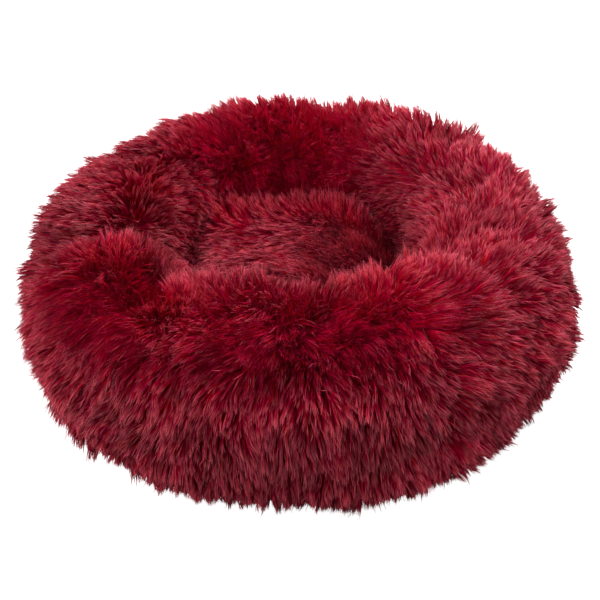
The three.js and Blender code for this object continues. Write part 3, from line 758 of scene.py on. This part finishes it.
# at the right the tips turn towards the front
flat = unit(flat + right_part[:, None] * np.array([0.2, -0.7, 0]))
flat = unit(flat - (flat * snor).sum(1, keepdims=True) * snor)
sv = unit(np.cos(stip) * flat + np.sin(stip) * snor)
right_edge = ramp(rr, 0.76, 0.98) * ramp(sx / SEAT_R, 0.5, 0.85) * (1 - back_edge)
fan = back_edge * (1.5 * hill(sx, -80, 22) + hill(sx, 48, 26))                      # two fans of tips at the back edge, with painted light
where = np.degrees(np.arctan2(sy, sx))
hollow = ramp(rr, 0.76, 0.94) * (bump(where, 33, 15) + 0.8 * bump(where, 166, 15))  # and hollows at the right and left, with shorter pile and painted shade
edge_gap = ramp(rr, 0.7, 1.0) * (1 - ramp(-sy / SEAT_R, 0.3, 0.8))
slen = (31 + 2 * k2(sroot) + g2.normal(0, 2.5, len(sx))) * (1 - 0.3 * edge_gap * (1 - back_edge) - 0.3 * right_edge) * (1 - 0.45 * hollow) + 7 * back_edge + 7 * fan
sstand = np.clip(0.45 + 0.1 * k1(sroot) + g2.normal(0, 0.08, len(sx)), 0.1, 0.9)
slines = grow(sroot, snor, sv, sstand, slen, 0.12 + np.abs(g2.normal(0.08, 0.06, len(sx))), g2, waves=(5.0, 8.0))
slines = gather(slines, 0.12, 0.15 + 0.2 * back_edge)


def seat_clear(q):
    """Keeps the seat's strands inside the well and above the seat's cloth."""
    r = np.hypot(q[..., 0], q[..., 1])
    lim = 127.0
    f = np.where(r > lim, (lim + (r - lim) * 0.25) / np.maximum(r, 1e-6), 1.0)
    x, y = q[..., 0] * f, q[..., 1] * f
    z0 = seat_surf(x.ravel(), y.ravel()).reshape(x.shape)
    z = np.maximum(q[..., 2], z0 + 6 * _t[None, :])
    return np.stack([x, y, z], -1)


# each seat lock's shade: random tone, lighter towards the back, painted light on the back edge and the fans, painted
# shade over the right part, at the right edge and in the hollows
szone = np.clip(0.5 + 0.13 * k3(sroot) + 0.09 * k2(sroot) + g2.normal(0, 0.16, len(sx)) + 0.26 * sy / SEAT_R + 0.2 * back_edge + 0.5 * fan - 0.2 * right_part - 0.3 * right_edge - 0.45 * hollow, 0, 1)
sloose = np.clip(right_part, 0, 1)
sper = np.where(sloose > 0.5, 14, 13)
sp, swho, sklass, sface = blades_of(slines, snor, sper, SLOCK * (0.8 + 0.4 * sloose), 0.62 - 0.3 * sloose + 0.2 * back_edge, g2, szone, seat_clear,
                                    bend=0.04 + 0.12 * sloose)
# short dense strands under the seat's locks, a little darker and without light tips: painted shade under the locks
sup, suwho, suklass, suface = blades_of(slines, snor, 4, SLOCK * 0.8, np.full(len(sx), 0.1), g2, szone * 0.9, seat_clear, part=0.7, own=0.35)
sup = sup[:, [0, 2, 4, 5]]
sk = np.concatenate([g2.choice(len(sx), 90, replace=False), g2.choice(np.nonzero(right_part > 0.35)[0], 40, replace=False)])
shair_tip = unit(sv[sk] + 0.5 * g2.normal(size=(len(sk), 3)) + 0.2 * snor[sk])
shair_tip[90:] = unit(np.array([0.45, -0.75, 0.12]) + 0.25 * g2.normal(size=(40, 3)))
shair = seat_clear(grow(sroot[sk], snor[sk], shair_tip, np.full(len(sk), 0.5), g2.uniform(26, 36, len(sk)), g2.uniform(0.15, 0.4, len(sk)), g2))
shclass = (CLASSES * g2.uniform(0.7, 0.99, len(sk))).astype(int)
swidth, suwidth, shwidth = g2.uniform(0.4, 0.9, len(swho)), g2.uniform(1.0, 1.7, len(suwho)), g2.uniform(0.32, 0.5, len(sk))
for i, half in enumerate((sx < 0, sx >= 0)):
    m, um, hm = half[swho], half[suwho], half[sk]
    ob = strand_mesh(f"seat_pile_{i + 1}", (
        ribbons(sp[m], sface[m], sklass[m], swidth[m], g2),
        ribbons(sup[um], suface[um], suklass[um], suwidth[um], g2, top=0.55),
        ribbons(shair[hm], snor[sk][hm], shclass[hm], shwidth[hm], g2),
    ), fur_seat)
    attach(ob, "root")
    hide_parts("seat_fur")
    print("seat", i + 1, "triangles", len(ob.data.loops) - 2 * len(ob.data.polygons))

# ------------------------------------------------------------------ backing cloths

def ring_shell(name, a0, a1, thick, mat):
    """The cloth that the pile is knotted into, between two azimuths, closed round its edges."""
    cols = int(abs(a1 - a0) / 1.6) + 1
    rows_ = 70
    aa = np.radians(np.linspace(a0, a1, cols))
    ss = np.linspace(0, 1, rows_)
    P_, S_ = np.meshgrid(aa, ss, indexing="ij")
    base, _, _, nn = surf_frame(P_.ravel(), S_.ravel())
    outer = base
    inner = base - nn * thick
    v = np.vstack([outer, inner])
    n0 = len(outer)
    f = []
    for q in grid_faces(cols, rows_):
        f.append(q)
        f.append(tuple(n0 + i for i in reversed(q)))
    idx = np.arange(n0).reshape(cols, rows_)
    border = [*idx[:, 0], *idx[-1, 1:], *idx[-2::-1, -1], *idx[0, -2:0:-1]]
    for a, b in zip(border, border[1:] + border[:1]):
        f.append((b, a, n0 + a, n0 + b))
    o = new_mesh(name, v, f)
    o.data.materials.append(mat)
    return o


gap_deg = 0.28
for name, a0, a1, nodename in (
    ("bolster_backing_front", LEFT_SEAM + gap_deg, FRONT_SEAM - gap_deg, "bolster_fur_front"),
    ("bolster_backing_back", FRONT_SEAM + gap_deg, LEFT_SEAM + 360 - gap_deg, "bolster_fur_back"),
):
    o = ring_shell(name, a0, a1, 1.4, backing)
    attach(o, "root")
    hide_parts(nodename)


def disc(name, radius, top, bottom, rings, around, mat):
    """A closed round pad with its own top and bottom heights."""
    v, f = [(0, 0, float(top(np.zeros(1), np.zeros(1))[0]))], []
    aa = np.linspace(0, 2 * np.pi, around, endpoint=False)
    for part, fn in (("t", top), ("b", bottom)):
        for i in range(1, rings + 1):
            r = radius * (i / rings) ** 0.8
            x, y = r * np.cos(aa), r * np.sin(aa)
            v += list(zip(x, y, fn(x, y)))
    v.append((0, 0, float(bottom(np.zeros(1), np.zeros(1))[0])))
    last = len(v) - 1
    at = lambda part, i, j: 1 + part * rings * around + (i - 1) * around + j % around
    for j in range(around):
        f.append((0, at(0, 1, j), at(0, 1, j + 1)))
        f.append((last, at(1, 1, j + 1), at(1, 1, j)))
        for i in range(1, rings):
            f.append((at(0, i, j), at(0, i + 1, j), at(0, i + 1, j + 1), at(0, i, j + 1)))
            f.append((at(1, i, j), at(1, i, j + 1), at(1, i + 1, j + 1), at(1, i + 1, j)))
        f.append((at(0, rings, j), at(1, rings, j), at(1, rings, j + 1), at(0, rings, j + 1)))
    o = new_mesh(name, v, f)
    o.data.materials.append(mat)
    return o


o = disc("seat_backing", 123.0, lambda x, y: seat_surf(x, y) + 0.2, lambda x, y: seat_surf(x, y) - 1.2, 18, 96, backing)
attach(o, "root")
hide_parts("seat_fur")

# ------------------------------------------------------------------ fillings, base, seams

fl = field(61, 34)
o = disc("seat_fibre", 122.8, lambda x, y: np.minimum(seat_surf(x, y) - 2.2, 72) + 0 * x,
         lambda x, y: 2.4 + 0.4 * np.abs(fl(np.stack([x, y, 0 * x], -1))), 16, 96, fibre_mat)
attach(o, "root")
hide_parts("seat_filling")


def ring_fibre():
    """The ring's loose fibre: the root surface drawn in by the cloth, and lumpy."""
    cols, rows_ = 150, 44
    aa = np.linspace(-np.pi, np.pi, cols, endpoint=False)
    ss = np.linspace(0, 1, rows_)
    P_, S_ = np.meshgrid(aa, ss, indexing="ij")
    base, _, _, nn = surf_frame(P_.ravel(), S_.ravel())
    up = base - nn * (2.4 + 1.0 * np.abs(fl(base)))[:, None]
    up = up.reshape(cols, rows_, 3)
    # close the section along the base cloth and the divider
    extra = []
    for rr, zz in ((126.2, 62.0), (126.0, 30.0), (126.0, 2.6), (165.0, 2.4), (200.0, 2.4), (224.0, 2.6)):
        extra.append(np.stack([rr * np.cos(aa), rr * np.sin(aa), np.full(cols, zz)], -1))
    v = np.concatenate([up, np.stack(extra, 1)], 1)
    rows2 = v.shape[1]
    v = v.reshape(-1, 3)
    o = new_mesh("bolster_fibre", v, grid_faces(cols, rows2, True, True))
    o.data.materials.append(fibre_mat)
    return o


o = ring_fibre()
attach(o, "root")
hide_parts("bolster_filling")

R_BASE = 234.0
o = disc("anti_slip_base", R_BASE, lambda x, y: 1.9 + 0 * x, lambda x, y: 0.9 + 0 * x, 12, 160, base_mat)
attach(o, "root")
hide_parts("base_cloth")
dv, df = [], []
pitch, seg = 14.0, 10
for iy in range(-18, 19):
    for ix in range(-18, 19):
        cx, cy = (ix + 0.5 * (iy % 2)) * pitch, iy * pitch * 0.866
        if math.hypot(cx, cy) > R_BASE - 9:
            continue
        n0 = len(dv)
        for rad, zz in ((2.1, 1.1), (1.9, 0.45), (1.2, 0.06)):
            dv += [(cx + rad * math.cos(2 * math.pi * j / seg), cy + rad * math.sin(2 * math.pi * j / seg), zz) for j in range(seg)]
        dv.append((cx, cy, 0.0))
        for a in range(2):
            for j in range(seg):
                df.append((n0 + a * seg + j, n0 + (a + 1) * seg + j, n0 + (a + 1) * seg + (j + 1) % seg, n0 + a * seg + (j + 1) % seg))
        for j in range(seg):
            df.append((n0 + 2 * seg + j, n0 + 3 * seg, n0 + 2 * seg + (j + 1) % seg))
        df.append(tuple(n0 + j for j in range(seg)))
o = new_mesh("grip_dots", dv, df)
o.data.materials.append(dot_mat)
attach(o, "root")

for n, m in (("panel_seam_thread_left", thread_mat), ("panel_seam_thread_front", thread_mat),
             ("seat_seam_thread", thread_mat), ("base_seam_thread", thread_mat),
             ("divider_wall", lining_mat), ("care_label", label_mat)):
    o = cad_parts[n]
    o.data.materials.clear()
    o.data.materials.append(m)

# ------------------------------------------------------------------ floor, lights, camera

bpy.ops.mesh.primitive_plane_add(size=40, location=(0, 0, -0.0004))
floor = bpy.context.active_object
floor.name = "floor"
fm, fnt, fb = material("floor_white")
fb.inputs["Base Color"].default_value = (0.8, 0.8, 0.8, 1)
fb.inputs["Emission Color"].default_value = (1, 1, 1, 1)
fb.inputs["Emission Strength"].default_value = 0.9
fb.inputs["Roughness"].default_value = 0.9
fb.inputs["Specular IOR Level"].default_value = 0.1
floor.data.materials.append(fm)
floor.visible_diffuse = False      # the white floor throws no light back up at the pile
floor.visible_glossy = False

world = bpy.data.worlds.new("studio")
bpy.context.scene.world = world
world.use_nodes = True
bg = world.node_tree.nodes["Background"]
bg.inputs["Color"].default_value = (1, 1, 1, 1)
bg.inputs["Strength"].default_value = 0.05


def area(name, loc, target, size, power, colour=(1, 1, 1)):
    l = bpy.data.lights.new(name, "AREA")
    l.shape, l.size, l.energy, l.color = "DISK", size, power, colour
    o = bpy.data.objects.new(name, l)
    bpy.context.scene.collection.objects.link(o)
    o.location = loc
    o.rotation_euler = (Vector(target) - Vector(loc)).to_track_quat("-Z", "Y").to_euler()
    return o


area("key_top", (0.8, 0.6, 1.6), (0, 0, 0.1), 1.4, 26)
area("side_left", (-1.7, -0.2, 0.6), (0, 0, 0.1), 1.2, 15)
area("side_right", (1.7, -0.2, 0.6), (0, 0, 0.1), 1.2, 10)
area("back", (0, 1.7, 1.2), (0, 0, 0.1), 1.4, 18)
area("front_left", (-0.7, -1.4, 1.3), (0, 0, 0.1), 1.4, 13.5)

cam = bpy.data.cameras.new("camera")
cam_ob = bpy.data.objects.new("camera", cam)
bpy.context.scene.collection.objects.link(cam_ob)
bpy.context.scene.camera = cam_ob
E, DIST = math.radians(34.5), 1.2
cam_ob.location = (0, -DIST * math.cos(E), 0.1 + DIST * math.sin(E))
tilt = E + math.atan(21.0 / 1110)
cam_ob.rotation_euler = (math.pi / 2 - tilt, 0, 0)
cam.lens, cam.sensor_width = 1110 / 600 * 36, 36
cam.clip_end = 50

vs = bpy.context.scene.view_settings
vs.view_transform = "Standard"
